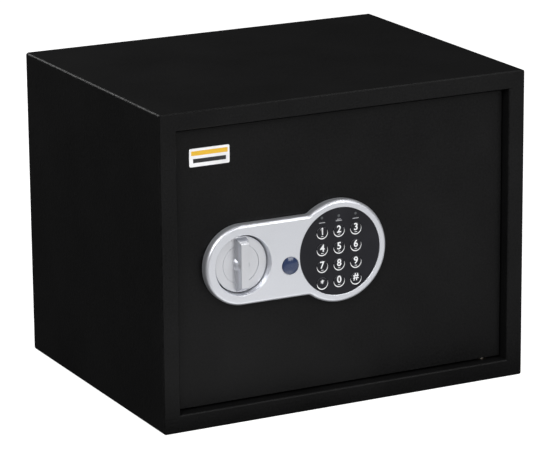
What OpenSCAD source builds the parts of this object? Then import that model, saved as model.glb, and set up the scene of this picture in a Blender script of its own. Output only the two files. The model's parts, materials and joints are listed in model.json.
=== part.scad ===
// Home safe: folded steel cabinet, swinging door, two bolts thrown by a knob,
// keypad with a solenoid lock, and a key override behind a small cap.
// Millimetres, +Z up, front towards -Y. Origin: centre of the base's underside.
// Drawn with the door shut and the bolts withdrawn.

/* [Cabinet] */
// Outside width
width = 380; // [370:1:420]
// Outside depth
depth = 300; // [260:1:360]
// Outside height
height = 300; // [290:1:340]
// Sheet thickness of the cabinet
sheet = 2; // [1.5:0.1:2.2]
// Width of the front flange around the door
flange = 17; // [16:0.5:18]
// Depth of the jamb behind the front face
jamb_depth = 42.5; // [41:0.5:46]
// Bend radius of the long edges
bend = 2.5; // [2:0.1:4]
// Outer radius of the fold around the opening
fold = 1.8; // [1:0.1:2]

/* [Anchoring] */
// Diameter of the anchor holes
anchor_d = 11; // [8:0.5:14]
// Distance between the two holes of a pair
anchor_pitch = 200; // [150:10:260]
// Height of the rear pair
anchor_z = 180; // [120:10:220]

/* [Door] */
// Thickness of the door plate
plate = 4; // [3.6:0.1:4.4]
// How far the door face sits behind the cabinet's front
recess = 9.5; // [8:0.1:10.5]
// Gap at the door's left and right edges
side_gap = 2.5; // [2.4:0.1:3]
// Gap at the door's top and bottom edges
end_gap = 2.6; // [2.2:0.1:3]
// Diameter of the hinge pins
hinge_d = 7; // [6:0.1:7.2]

/* [Bolts] */
// Diameter of the locking bolts
bolt_d = 18; // [16:0.5:18.5]
// Distance of each bolt above or below the lock line
bolt_offset = 60; // [58:1:64]
// Radius at which the crank pin turns
crank_r = 11; // [10:0.1:11.2]

/* [Control panel] */
// Distance that the panel stands out from the door
panel_depth = 9.5; // [9.3:0.1:10.2]
// Radius of the keypad end
pad_end_r = 49; // [48.6:0.1:50.2]
// Radius of the knob end
knob_end_r = 38; // [37.6:0.1:39.2]
// Distance between the knob and the keypad centres
centre_pitch = 99.8; // [98.9:0.1:101.4]
// Distance that a key goes in
key_travel = 0.8; // [0.5:0.1:0.9]

/* [Hidden] */
$fn = 64;

// cabinet
front_y = -depth / 2;
back_y = depth / 2;
open_x = width / 2 - flange;
open_z0 = flange;
open_z1 = height - flange;
jamb_y = front_y + jamb_depth;
edge_break = 1.2;
carpet = 3;
carpet_y0 = jamb_y + 2;
anchor_clear_d = anchor_d + 5;
stop_x0 = -open_x + 22;
stop_w = 20;
stop_t = 2;
stop_gap = 0.3;
stop_reach = 5.5;
bush_wall = 2.5;
bush_flange = 5;
bush_flange_t = 1.5;

// door
door_y = front_y + recess;
door_back = door_y + plate;
door_x = open_x - side_gap;
door_z0 = open_z0 + end_gap;
door_z1 = open_z1 - end_gap;
hinge_x = door_x - 16;
hinge_y = door_y + 8;
hinge_block_w = 18;
hinge_block_h = 19;
pin_socket = hinge_block_h - 2;
pin_reach = 5;
run_fit = 0.075;
loose_fit = 0.3;
cover_sheet = 1.2;
cover_x0 = -door_x + 10.6;
cover_x1 = 135;
cover_z0 = door_z0 + 21;
cover_z1 = door_z1 - 15;
cover_y = door_y + 39;
cover_lip = 8;
cover_tab_half = 12;
cover_screw_x = [-120, 100];
cover_screw_zs = [cover_z0 - cover_lip / 2, cover_z1 + cover_lip / 2];
cover_screw_r = 1.5;

// lock line and bolts
lock_z = height / 2;
bolt_y = door_back + 11;
bolt_r = bolt_d / 2;
bolt_nose = 1.5;
bolt_zs = [lock_z - bolt_offset, lock_z + bolt_offset];
bolt_tip_x = -door_x + 1.1;
bolt_root_x = -124;
bolt_travel = 2 * crank_r * sin(45);
window = bolt_d + 4;
guide_x = -door_x + 3.6;
guide_plate = 3;
guide_half_h = 80;
web_y = door_back + 18;
web_t = 2;
ear_t = 2.5;
ear_half = 12;
web_x1 = -85;
arm_z0 = lock_z - 38;
arm_z1 = lock_z - 30;
tooth_h = 7;
tooth_x0 = -58;
tooth_x1 = -51;
guide_screw_x = -117;
guide_screw_zs = [lock_z - 23, lock_z + 29];
guide_shank_r = 3;
guide_thread_r = 2;
guide_thread = 3;
rivet_r = 3;
rivet_len = 12;

// knob and crank
knob_x = -107.5;
knob_r = 26.4;
spindle_r = 5;
knob_face_y = door_y - panel_depth + 5.6;
knob_back_y = door_y - 0.6;
spindle_front_y = knob_face_y - 3;
dish_r = 18.4;
dish_depth = 0.6;
grip_foot = 5.3;
grip_top = 3.9;
grip_y = knob_face_y - 8.8;
grip_end = 4;
boss_foot_r = 7.4;
boss_top_r = 4.6;
crank_hub_r = 8.5;
crank_half = 4.5;
crank_y = door_back + 12.5;
crank_t = 3;
crank_pin_r = 2.5;
slot_half = crank_pin_r + 0.6;

// control panel
pad_x = knob_x + centre_pitch;
bezel_y = door_y - panel_depth;
gasket = 1;
bezel_base_y = door_y - gasket;
bezel_wall = 3;
bezel_face = 2;
bezel_round = 3;
well_r = 28.4;
well_wall = 2.5;
boss_r = 4;
boss_y = bezel_y + bezel_face + 2.6;
boss_grip = 3.2;
neck_len = centre_pitch - 30;
bezel_screw_r = 2;
bezel_bosses = [
    [knob_x + 41, lock_z + 29],
    [knob_x + 41, lock_z - 29],
    [pad_x + 29.5, lock_z + 31.5],
    [pad_x + 29.5, lock_z - 31.5]
];
pad_r = 41.8;
pad_sink = 0.6;
pad_t = bezel_face - pad_sink;
pad_flange = 1.2;
badge_x0 = -156.5;
badge_z0 = height - 54;
badge_w = 40.5;
badge_h = 17;
badge_t = 0.8;
key_pitch_x = 17.6;
key_pitch_z = 16.1;
key_rows_top = 19.6;
key_r = 5.9;
key_rim = 0.7;
key_flange = 0.8;
key_x0 = pad_x - 18.5;
key_proud = 0.3;
lamp_z = lock_z + 34;
lamp_r = 1.3;
board_y = bezel_y + 6.2;
board_t = 1.6;
board_r = 40.4;
switch_h = 1.5;

// key override
lock_x = knob_x + 48;
lock_dz = lock_z - 6.8;
barrel_r = 7;
plug_r = 4.5;
cap_r = 8.3;
cap_h = 1.9;
cap_plug_r = 5;
cap_seat = 0.8;
tail_half = 2.5;
cam_y0 = door_back + 11.5;
cam_y1 = cam_y0 + 1.8;
cam_r = 7;
cam_len = 24;
cam_half = 4.5;

// solenoid
sol_x = -62;
sol_z0 = lock_z - 90;
sol_z1 = lock_z - 58;
sol_w = 22;
sol_d = 20;
core_r = 4.5;
plunger_tip_r = 3;
plunger_top = arm_z0 - tooth_h - 2;
plunger_collar = plunger_top - 7;

// electronics
tray_x0 = 25;
tray_x1 = 90;
tray_z0 = lock_z - 95;
tray_z1 = lock_z - 37;
tray_y0 = cover_y - 19;
cell_r = 7.1;
cell_len = 50.5;
cell_pitch = 15;
cell_count = 4;
ctrl_x0 = 10;
ctrl_x1 = 85;
ctrl_z0 = lock_z;
ctrl_z1 = lock_z + 55;
ctrl_y = door_back + 5;
reset_x = 72;
reset_z = lock_z + 35;
reset_r = 3.5;
cable_z = lock_z + 8;
coil_cable_z = lock_z + 24;
cable_hole_r = 6;
cable_bend = 6;
key_cable_r = 2;
coil_cable_r = 1.25;
supply_cable_r = 1.5;
standoff_r = 2.5;
standoff_in = 5;
tray_wall = 2;
lid_t = 1.6;
lid_edge = 2;

// Block between two opposite corners
module block(low, high) {
    translate(low) cube(high - low);
}

// Round bars along each axis; an inner radius makes a tube
module bar_x(r, x0, x1, y, z) {
    translate([x0, y, z]) rotate([0, 90, 0]) cylinder(r = r, h = x1 - x0);
}

module bar_y(r, y0, y1, x, z) {
    translate([x, y0, z]) rotate([-90, 0, 0]) cylinder(r = r, h = y1 - y0);
}

module bar_z(r, z0, z1, x, y) {
    translate([x, y, z0]) cylinder(r = r, h = z1 - z0);
}

// Flat outline drawn in x and z, given thickness from y0 to y1
module slab_y(y0, y1) {
    translate([0, y1, 0]) rotate([90, 0, 0]) linear_extrude(y1 - y0) children();
}

// Hexagon nut around a bar along y
module nut_y(across, bore_r, y0, y1, x, z) {
    difference() {
        translate([x, y0, z]) rotate([-90, 0, 0]) cylinder(d = across / cos(30), h = y1 - y0, $fn = 6);
        bar_y(bore_r, y0 - 1, y1 + 1, x, z);
    }
}

// Pan-head screw along y: head from y0 forward to the shank
module screw_y(head_r, head_h, shank_r, shank_len, y_seat, x, z) {
    difference() {
        bar_y(head_r, y_seat, y_seat + head_h, x, z);
        block([x - head_r * 0.6, y_seat + head_h * 0.55, z - 0.5],
              [x + head_r * 0.6, y_seat + head_h + 1, z + 0.5]);
        block([x - 0.5, y_seat + head_h * 0.55, z - head_r * 0.6],
              [x + 0.5, y_seat + head_h + 1, z + head_r * 0.6]);
    }
    bar_y(shank_r, y_seat - shank_len, y_seat, x, z);
}

// Square with rounded corners
module round_square(w, h, r) {
    translate([r, 0]) square([w - 2 * r, h]);
    translate([0, r]) square([w, h - 2 * r]);
    for (x = [r, w - r], z = [r, h - r]) translate([x, z]) circle(r);
}

// ---- cabinet ----

// One 45 degree cut along an edge: size is the leg of the cut
module edge_cut(length, size) {
    rotate([45, 0, 0]) cube([length, size * sqrt(2), size * sqrt(2)], center = true);
}

// Outline of the cabinet seen from the front
module cabinet_outline() {
    translate([-width / 2, 0]) round_square(width, height, bend);
}

// Sheet folded round the two sides, the top and the base
module body_wrap() {
    color("#1c1c1e") difference() {
        slab_y(front_y + sheet, back_y) cabinet_outline();
        block([-width / 2 + sheet, front_y, sheet], [width / 2 - sheet, back_y + 1, height - sheet]);
        for (x = [-1, 1]) bar_z(anchor_d / 2, -1, sheet + 1, x * anchor_pitch / 2, 0);
    }
}

// Rounding across one span of the opening, drawn in the plane of the fold
module fold_section(low, high) {
    difference() {
        translate([low - fold, front_y - 1]) square([high - low + 2 * fold, fold + 1]);
        for (at = [low - fold, high + fold]) translate([at, front_y + fold]) circle(fold);
    }
}

// Space that the rounded fold leaves free in front of the opening
module fold_clearance() {
    intersection() {
        linear_extrude(height) fold_section(-open_x, open_x);
        translate([-width / 2, 0, 0]) rotate([90, 0, 90]) linear_extrude(width)
            mirror([1, -1]) fold_section(open_z0, open_z1);
    }
}

// Front frame, one sheet: a flat flange with the jamb turned in around the opening
module front_frame() {
    color("#1c1c1e") difference() {
        union() {
            slab_y(front_y, front_y + sheet) cabinet_outline();
            block([-open_x - sheet, front_y + sheet, open_z0 - sheet],
                  [open_x + sheet, jamb_y, open_z1 + sheet]);
        }
        block([-open_x, front_y - 1, open_z0], [open_x, jamb_y + 1, open_z1]);
        fold_clearance();
        for (z = [0, height]) translate([0, front_y, z]) edge_cut(width + 2, edge_break);
        for (x = [-1, 1]) translate([x * width / 2, front_y, height / 2])
            rotate([0, 90, 0]) edge_cut(height + 2, edge_break);
        for (z = bolt_zs)
            block([-open_x - sheet - 1, bolt_y - window / 2, z - window / 2],
                  [-open_x + 1, bolt_y + window / 2, z + window / 2]);
        bar_z(hinge_d / 2 + bush_wall, open_z0 - sheet - 1, open_z1 + sheet + 1, hinge_x, hinge_y);
    }
}

module rear_panel() {
    color("#1a1a1c") difference() {
        block([-width / 2 + sheet, back_y - sheet, sheet], [width / 2 - sheet, back_y, height - sheet]);
        for (x = [-1, 1]) bar_y(anchor_d / 2, back_y - sheet - 1, back_y + 1, x * anchor_pitch / 2, anchor_z);
    }
}

module floor_carpet() {
    color("#303034") difference() {
        block([-width / 2 + sheet + 1, carpet_y0, sheet],
              [width / 2 - sheet - 1, back_y - sheet - 1, sheet + carpet]);
        for (x = [-1, 1]) bar_z(anchor_clear_d / 2, sheet - 1, sheet + carpet + 1, x * anchor_pitch / 2, 0);
    }
}

// Plain bearing pressed into the jamb; turned over for the lower one
module hinge_bush(z_face, up) {
    translate([hinge_x, hinge_y, z_face]) mirror([0, 0, up ? 0 : 1]) difference() {
        union() {
            cylinder(r = hinge_d / 2 + bush_wall, h = sheet);
            translate([0, 0, sheet]) cylinder(r = hinge_d / 2 + bush_flange, h = bush_flange_t);
        }
        translate([0, 0, -1]) cylinder(r = hinge_d / 2 + run_fit, h = sheet + bush_flange_t + 2);
    }
}

module hinge_bushes() {
    color("#b9a15a") {
        hinge_bush(open_z1, true);
        hinge_bush(open_z0, false);
    }
}

module door_stops() {
    color("#1c1c1e") {
        for (z = [open_z0, open_z1 - stop_reach])
            block([stop_x0, door_back + stop_gap, z],
                  [stop_x0 + stop_w, door_back + stop_gap + stop_t, z + stop_reach]);
    }
}

// ---- door ----

module door_plate() {
    color("#222224") difference() {
        block([-door_x, door_y, door_z0], [door_x, door_back, door_z1]);
        bar_y(spindle_r + 2, door_y - 1, door_back + 1, knob_x, lock_z);
        bar_y(barrel_r, door_y - 1, door_back + 1, lock_x, lock_dz);
        bar_y(cable_hole_r, door_y - 1, door_back + 1, pad_x, cable_z);
        for (p = bezel_bosses) bar_y(bezel_screw_r, door_y - 1, door_back + 1, p[0], p[1]);
        for (x = cover_screw_x, z = cover_screw_zs)
            bar_y(cover_screw_r, door_back - 3, door_back + 1, x, z);
        for (z = guide_screw_zs)
            bar_y(guide_thread_r, door_back - guide_thread, door_back + 1, guide_screw_x, z);
    }
}

// Welded blocks that carry the pins
module hinge_blocks() {
    color("#222224") difference() {
        for (z = [door_z0, door_z1 - hinge_block_h])
            block([hinge_x - hinge_block_w / 2, door_back, z],
                  [hinge_x + hinge_block_w / 2, hinge_y + 6, z + hinge_block_h]);
        bar_z(hinge_d / 2, door_z0 - 1, door_z1 + 1, hinge_x, hinge_y);
    }
}

module hinge_pins() {
    color("#a9abb0") {
        bar_z(hinge_d / 2, door_z1 - pin_socket, door_z1 + end_gap + sheet + pin_reach, hinge_x, hinge_y);
        bar_z(hinge_d / 2, door_z0 - end_gap - sheet - pin_reach, door_z0 + pin_socket, hinge_x, hinge_y);
    }
}

// Upright on the door's free edge that the bolts run in
module bolt_guide() {
    color("#222224") difference() {
        block([guide_x, door_back, lock_z - guide_half_h],
              [guide_x + guide_plate, web_y + 5, lock_z + guide_half_h]);
        for (z = bolt_zs) bar_x(bolt_r + run_fit, guide_x - 1, guide_x + guide_plate + 1, bolt_y, z);
    }
}

module inner_cover() {
    color("#26262a") difference() {
        union() {
            block([cover_x0, door_back, cover_z0], [cover_x1, cover_y, cover_z1]);
            for (x = cover_screw_x)
                block([x - cover_tab_half, door_back, cover_z0 - cover_lip],
                      [x + cover_tab_half, door_back + cover_sheet, cover_z1 + cover_lip]);
        }
        block([cover_x0 + cover_sheet, door_back - 1, cover_z0 + cover_sheet],
              [cover_x1 - cover_sheet, cover_y - cover_sheet, cover_z1 - cover_sheet]);
        for (z = bolt_zs) bar_x(bolt_r + 1, cover_x0 - 1, cover_x0 + cover_sheet + 1, bolt_y, z);
        for (x = cover_screw_x, z = cover_screw_zs)
            bar_y(cover_screw_r, door_back - 1, door_back + cover_sheet + 1, x, z);
        block([tray_x0, cover_y - cover_sheet - 1, tray_z0], [tray_x1, cover_y + 1, tray_z1]);
        bar_y(reset_r + loose_fit, cover_y - cover_sheet - 1, cover_y + 1, reset_x, reset_z);
    }
}

module cover_screws() {
    color("#9a9ca0")
        for (x = cover_screw_x, z = cover_screw_zs)
            screw_y(2.8, 1.8, cover_screw_r, cover_sheet + 3, door_back + cover_sheet, x, z);
}

// Plain rectangular plate on the door's upper left
module badge_plate() {
    color("#e8e8ea") slab_y(door_y - badge_t, door_y)
        translate([badge_x0, badge_z0]) round_square(badge_w, badge_h, 1.5);
}

// ---- control panel ----

// Peanut outline: a small round end, a straight neck and a large round end
module panel_outline(inset) {
    translate([knob_x, lock_z]) circle(knob_end_r - inset);
    translate([pad_x, lock_z]) circle(pad_end_r - inset);
    translate([knob_x, lock_z - knob_end_r + inset]) square([neck_len, 2 * (knob_end_r - inset)]);
}

// Section of the panel's edge: radius r, rounded where it meets the face
module rounded_edge(r, h) {
    square([r, h - bezel_round]);
    square([r - bezel_round, h]);
    translate([r - bezel_round, h - bezel_round]) intersection() {
        circle(bezel_round);
        square(bezel_round);
    }
}

module panel_end(x, r, h) {
    translate([x, bezel_base_y, lock_z]) rotate([90, 0, 0]) rotate_extrude() rounded_edge(r, h);
}

module panel_neck(x0, x1, h) {
    translate([x0, bezel_base_y, lock_z]) rotate([0, 90, 0]) rotate([0, 0, 180]) linear_extrude(x1 - x0) {
        rounded_edge(knob_end_r, h);
        mirror([1, 0]) rounded_edge(knob_end_r, h);
    }
}

module panel_bezel() {
    h = bezel_base_y - bezel_y;
    color("#d2d4da") difference() {
        union() {
            difference() {
                union() {
                    panel_end(knob_x, knob_end_r, h);
                    panel_end(pad_x, pad_end_r, h);
                    panel_neck(knob_x, knob_x + neck_len, h);
                }
                slab_y(bezel_y + bezel_face, bezel_base_y + 1) panel_outline(bezel_wall);
            }
            bar_y(well_r + well_wall, bezel_y + 1, bezel_base_y, knob_x, lock_z);
            for (p = bezel_bosses) bar_y(boss_r, boss_y, bezel_base_y, p[0], p[1]);
            for (i = [0, 1]) bar_y(boss_r, bezel_y + 1, bezel_base_y, bezel_bosses[i][0], bezel_bosses[i][1]);
        }
        bar_y(well_r, bezel_y - 1, bezel_base_y + 1, knob_x, lock_z);
        bar_y(pad_r, bezel_y - 1, bezel_y + bezel_face + 1, pad_x, lock_z);
        bar_y(cap_r + 0.4, bezel_y - 1, bezel_y + cap_seat, lock_x, lock_dz);
        bar_y(cap_plug_r + loose_fit, bezel_y, bezel_y + bezel_face + 1, lock_x, lock_dz);
        for (p = bezel_bosses)
            bar_y(bezel_screw_r, bezel_base_y - boss_grip - 0.3, bezel_base_y + 1, p[0], p[1]);
    }
}

module bezel_gasket() {
    color("#1b1b1b") slab_y(bezel_base_y, door_y) difference() {
        panel_outline(0.6);
        panel_outline(3.4);
    }
}

module bezel_screws() {
    color("#9a9ca0") for (p = bezel_bosses)
        screw_y(3.8, 2.4, bezel_screw_r, plate + gasket + boss_grip, door_back, p[0], p[1]);
}

// Position of the key in column c and row r
function key_at(c, r) = [key_x0 + c * key_pitch_x, lock_z + key_rows_top - r * key_pitch_z];

module keypad_face() {
    face_y = bezel_y + pad_sink;
    color("#26262c") difference() {
        union() {
            bar_y(pad_r - 0.2, face_y, face_y + pad_t, pad_x, lock_z);
            bar_y(pad_r + 2.4, face_y + pad_t, face_y + pad_t + pad_flange, pad_x, lock_z);
        }
        bar_y(pad_r - 0.9, face_y + pad_t, face_y + pad_t + 2, pad_x, lock_z);
        for (c = [0:2], r = [0:3])
            bar_y(key_r + loose_fit, face_y - 1, face_y + pad_t + 1, key_at(c, r)[0], key_at(c, r)[1]);
        for (c = [0:2]) bar_y(lamp_r + 0.15, face_y - 1, face_y + pad_t + 1, key_at(c, 0)[0], lamp_z);
    }
}

module keypad_board() {
    color("#1f5a34") difference() {
        bar_y(board_r, board_y, board_y + board_t, pad_x, lock_z);
        for (i = [2, 3])
            bar_y(boss_r + 0.6, board_y - 1, board_y + board_t + 1, bezel_bosses[i][0], bezel_bosses[i][1]);
    }
}

module key_switches() {
    color("#3a3a3d") for (c = [0:2], r = [0:3])
        block([key_at(c, r)[0] - 3, board_y - switch_h, key_at(c, r)[1] - 3],
              [key_at(c, r)[0] + 3, board_y, key_at(c, r)[1] + 3]);
}

module indicator_leds() {
    color("#9fb39f") for (c = [0:2])
        bar_y(lamp_r, bezel_y + pad_sink + 0.1, board_y, key_at(c, 0)[0], lamp_z);
}

// One key: round cap, a flange that holds it behind the face and a short stem
module key(c, r) {
    back = bezel_y + pad_sink + pad_t;
    p = key_at(c, r);
    color("#2b2b31") {
        bar_y(key_r, bezel_y + pad_sink - key_proud, back, p[0], p[1]);
        bar_y(key_r + key_rim, back, back + key_flange, p[0], p[1]);
        bar_y(2, back + key_flange, board_y - switch_h - key_travel - 0.15, p[0], p[1]);
    }
}

// ---- knob drive ----

module knob() {
    grip_half = knob_r - 1.2;
    color("#cfd1d8") difference() {
        union() {
            difference() {
                translate([knob_x, knob_back_y, lock_z]) rotate([90, 0, 0]) rotate_extrude()
                    polygon([[0, 0], [knob_r, 0], [knob_r, knob_back_y - knob_face_y - 0.8],
                             [knob_r - 0.8, knob_back_y - knob_face_y], [0, knob_back_y - knob_face_y]]);
                bar_y(dish_r, knob_face_y - 1, knob_face_y + dish_depth, knob_x, lock_z);
            }
            intersection() {
                translate([knob_x, 0, lock_z - grip_half]) linear_extrude(2 * grip_half)
                    polygon([[-grip_foot, knob_face_y + 0.8], [grip_foot, knob_face_y + 0.8],
                             [grip_foot, knob_face_y - 0.8], [grip_top, grip_y],
                             [-grip_top, grip_y], [-grip_foot, knob_face_y - 0.8]]);
                translate([knob_x - grip_foot - 1, 0, lock_z]) rotate([90, 0, 90])
                    linear_extrude(2 * grip_foot + 2)
                    polygon([[knob_face_y + 1, -grip_half], [knob_face_y - 1, -grip_half],
                             [grip_y, -grip_half + grip_end], [grip_y, grip_half - grip_end],
                             [knob_face_y - 1, grip_half], [knob_face_y + 1, grip_half]]);
            }
            translate([knob_x, knob_face_y + 0.8, lock_z]) rotate([90, 0, 0])
                cylinder(r1 = boss_foot_r, r2 = boss_top_r, h = knob_face_y + 0.8 - grip_y - 0.6);
        }
        bar_y(spindle_r, spindle_front_y, knob_back_y + 1, knob_x, lock_z);
    }
}

module knob_bush() {
    color("#b9a15a") difference() {
        union() {
            bar_y(spindle_r + 2, knob_back_y + 0.8, door_back + 2, knob_x, lock_z);
            bar_y(spindle_r + 5, door_back, door_back + 2, knob_x, lock_z);
        }
        bar_y(spindle_r + run_fit, knob_back_y, door_back + 3, knob_x, lock_z);
    }
}

module spindle() {
    end_y = crank_y + crank_t;
    color("#a9abb0") difference() {
        bar_y(spindle_r, spindle_front_y, end_y, knob_x, lock_z);
        bar_y(1.5, end_y - 8, end_y + 1, knob_x, lock_z);
    }
}

// Lever on the spindle with the pin that moves the bolt carriage; drawn at 45 degrees
module crank() {
    color("#8f9197") translate([knob_x, 0, lock_z]) rotate([0, 45, 0]) {
        difference() {
            union() {
                bar_y(crank_hub_r, crank_y, crank_y + crank_t, 0, 0);
                bar_y(crank_half, crank_y, crank_y + crank_t, 0, crank_r);
                block([-crank_half, crank_y, 0], [crank_half, crank_y + crank_t, crank_r]);
            }
            bar_y(spindle_r, crank_y - 1, crank_y + crank_t + 1, 0, 0);
        }
        bar_y(crank_pin_r, crank_y + crank_t, web_y + web_t + 1.5, 0, crank_r);
    }
}

module crank_screw() {
    color("#9a9ca0") screw_y(6.5, 1.8, 1.5, 7, crank_y + crank_t, knob_x, lock_z);
}

// ---- bolt work ----

module bolt_carriage() {
    pin_x = knob_x + crank_r * sin(45);
    color("#9b9da3") difference() {
        union() {
            block([bolt_root_x, web_y, bolt_zs[0] - ear_half],
                  [web_x1, web_y + web_t, bolt_zs[1] + ear_half]);
            for (z = bolt_zs)
                block([bolt_root_x, door_back + 2, z - ear_half],
                      [bolt_root_x + ear_t, web_y + web_t, z + ear_half]);
            block([web_x1 - 1, web_y, arm_z0], [tooth_x1, web_y + web_t, arm_z1]);
            block([tooth_x0, web_y, arm_z0 - tooth_h], [tooth_x1, web_y + web_t, arm_z1]);
        }
        block([pin_x - slot_half, web_y - 1, lock_z + crank_r * cos(45) - 3.5],
              [pin_x + slot_half, web_y + web_t + 1, lock_z + crank_r + 3.5]);
        for (z = guide_screw_zs) {
            block([guide_screw_x, web_y - 1, z - guide_shank_r - loose_fit],
                  [guide_screw_x + bolt_travel, web_y + web_t + 1, z + guide_shank_r + loose_fit]);
            for (x = [guide_screw_x, guide_screw_x + bolt_travel])
                bar_y(guide_shank_r + loose_fit, web_y - 1, web_y + web_t + 1, x, z);
        }
        for (z = bolt_zs) bar_x(rivet_r, bolt_root_x - 1, bolt_root_x + ear_t + 1, bolt_y, z);
    }
}

module locking_bolts() {
    color("#c3c5cb") for (z = bolt_zs) difference() {
        union() {
            bar_x(bolt_r, bolt_tip_x + bolt_nose, bolt_root_x, bolt_y, z);
            translate([bolt_tip_x + bolt_nose, bolt_y, z]) rotate([0, -90, 0])
                cylinder(r1 = bolt_r, r2 = bolt_r - bolt_nose, h = bolt_nose);
        }
        bar_x(rivet_r, bolt_root_x - rivet_len, bolt_root_x + 1, bolt_y, z);
    }
}

module bolt_rivets() {
    color("#9a9ca0") for (z = bolt_zs) {
        bar_x(rivet_r, bolt_root_x - rivet_len, bolt_root_x + ear_t, bolt_y, z);
        bar_x(rivet_r + 2, bolt_root_x + ear_t, bolt_root_x + ear_t + 2, bolt_y, z);
    }
}

module guide_screws() {
    color("#9a9ca0") for (z = guide_screw_zs) {
        bar_y(guide_thread_r, door_back - guide_thread, door_back, guide_screw_x, z);
        bar_y(guide_shank_r, door_back, web_y + web_t + 0.5, guide_screw_x, z);
        bar_y(5.5, web_y + web_t + 0.5, web_y + web_t + 2.5, guide_screw_x, z);
    }
}

// ---- key override ----

module lock_barrel() {
    color("#b7b9be") difference() {
        union() {
            bar_y(barrel_r, bezel_y + 4.5, door_back + 11, lock_x, lock_dz);
            bar_y(9.5, door_y - 2, door_y, lock_x, lock_dz);
        }
        bar_y(plug_r + run_fit, bezel_y, door_back + 12, lock_x, lock_dz);
    }
}

module lock_nut() {
    color("#9a9ca0") nut_y(19, barrel_r, door_back, door_back + 4, lock_x, lock_dz);
}

module lock_plug() {
    color("#c9b26a") difference() {
        union() {
            bar_y(plug_r, bezel_y + 4.7, door_back + 11.2, lock_x, lock_dz);
            block([lock_x - tail_half, door_back + 11.2, lock_dz - tail_half],
                  [lock_x + tail_half, cam_y1 + 0.3, lock_dz + tail_half]);
        }
        block([lock_x - 1, bezel_y, lock_dz - 3.2], [lock_x + 1, door_y + 6, lock_dz + 3.2]);
    }
}

module lock_cam() {
    color("#9b9da3") difference() {
        union() {
            bar_y(cam_r, cam_y0, cam_y1, lock_x, lock_dz);
            block([lock_x, cam_y0, lock_dz - cam_half], [lock_x + cam_len, cam_y1, lock_dz + cam_half]);
        }
        block([lock_x - tail_half, cam_y0 - 1, lock_dz - tail_half],
              [lock_x + tail_half, cam_y1 + 1, lock_dz + tail_half]);
    }
}

// Push-in cover over the keyhole, slightly domed
module keyhole_cap() {
    dome_r = (cap_r * cap_r + cap_h * cap_h) / (2 * cap_h);
    color("#41506e") {
        translate([lock_x, bezel_y + cap_seat, lock_dz]) rotate([90, 0, 0]) rotate_extrude() intersection() {
            translate([0, cap_h + 0.9 - dome_r]) circle(dome_r, $fn = 256);
            square([cap_r, cap_h + 0.9]);
        }
        bar_y(cap_plug_r, bezel_y + cap_seat, bezel_y + 4, lock_x, lock_dz);
    }
}

// ---- solenoid ----

module solenoid_bracket() {
    color("#8f9197") {
        block([sol_x - sol_w / 2, door_back, sol_z0 + 4], [sol_x - sol_w / 2 + 2, web_y - 9, sol_z1 - 4]);
        block([sol_x + sol_w / 2 - 2, door_back, sol_z0 + 4], [sol_x + sol_w / 2, web_y - 9, sol_z1 - 4]);
    }
}

module solenoid_yoke() {
    y0 = web_y - 9;
    color("#9b9da3") difference() {
        block([sol_x - sol_w / 2, y0, sol_z0], [sol_x + sol_w / 2, y0 + sol_d, sol_z1]);
        block([sol_x - sol_w / 2 - 1, y0 + 1.5, sol_z0 + 2],
              [sol_x + sol_w / 2 + 1, y0 + sol_d + 1, sol_z1 - 2]);
        bar_z(core_r + run_fit, sol_z1 - 3, sol_z1 + 1, sol_x, web_y + 1);
    }
}

module solenoid_coil() {
    color("#b5552a") difference() {
        bar_z(8.4, sol_z0 + 2, sol_z1 - 2, sol_x, web_y + 1);
        bar_z(core_r + run_fit, sol_z0 + 8, sol_z1, sol_x, web_y + 1);
    }
}

module plunger() {
    color("#c3c5cb") {
        bar_z(core_r, sol_z0 + 9, sol_z1 + 1, sol_x, web_y + 1);
        bar_z(plunger_tip_r, sol_z1 + 1, plunger_top, sol_x, web_y + 1);
        bar_z(5.4, plunger_collar, plunger_collar + 1, sol_x, web_y + 1);
    }
}

// Point on the spring wire: turn angle a, wire angle b
function wire_at(a, b, z0, rise, coil_r, wire_r) =
    let (r = coil_r + wire_r * cos(b))
    [r * cos(a), r * sin(a), z0 + rise * a / 360 + wire_r * sin(b)];

module solenoid_spring() {
    turns = 3;
    steps = 24;
    sides = 10;
    coil_r = 5.1;
    wire_r = 0.4;
    z0 = sol_z1 + wire_r;
    rise = (plunger_collar - sol_z1 - 2 * wire_r) / turns;
    rings = turns * steps;
    points = [for (i = [0:rings], j = [0:sides - 1])
        wire_at(i * 360 / steps, j * 360 / sides, z0, rise, coil_r, wire_r)];
    skin = [for (i = [0:rings - 1], j = [0:sides - 1])
        [i * sides + j, (i + 1) * sides + j, (i + 1) * sides + (j + 1) % sides, i * sides + (j + 1) % sides]];
    first = [for (j = [0:sides - 1]) j];
    last = [for (j = [sides - 1:-1:0]) rings * sides + j];
    color("#c3c5cb") translate([sol_x, web_y + 1, 0]) polyhedron(points, concat(skin, [first, last]));
}

// ---- electronics ----

module control_board() {
    color("#1f5a34") block([ctrl_x0, ctrl_y, ctrl_z0], [ctrl_x1, ctrl_y + board_t, ctrl_z1]);
    color("#c9b26a") for (x = [ctrl_x0 + standoff_in, ctrl_x1 - standoff_in])
        for (z = [ctrl_z0 + standoff_in, ctrl_z1 - standoff_in])
            bar_y(standoff_r, door_back, ctrl_y, x, z);
}

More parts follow.
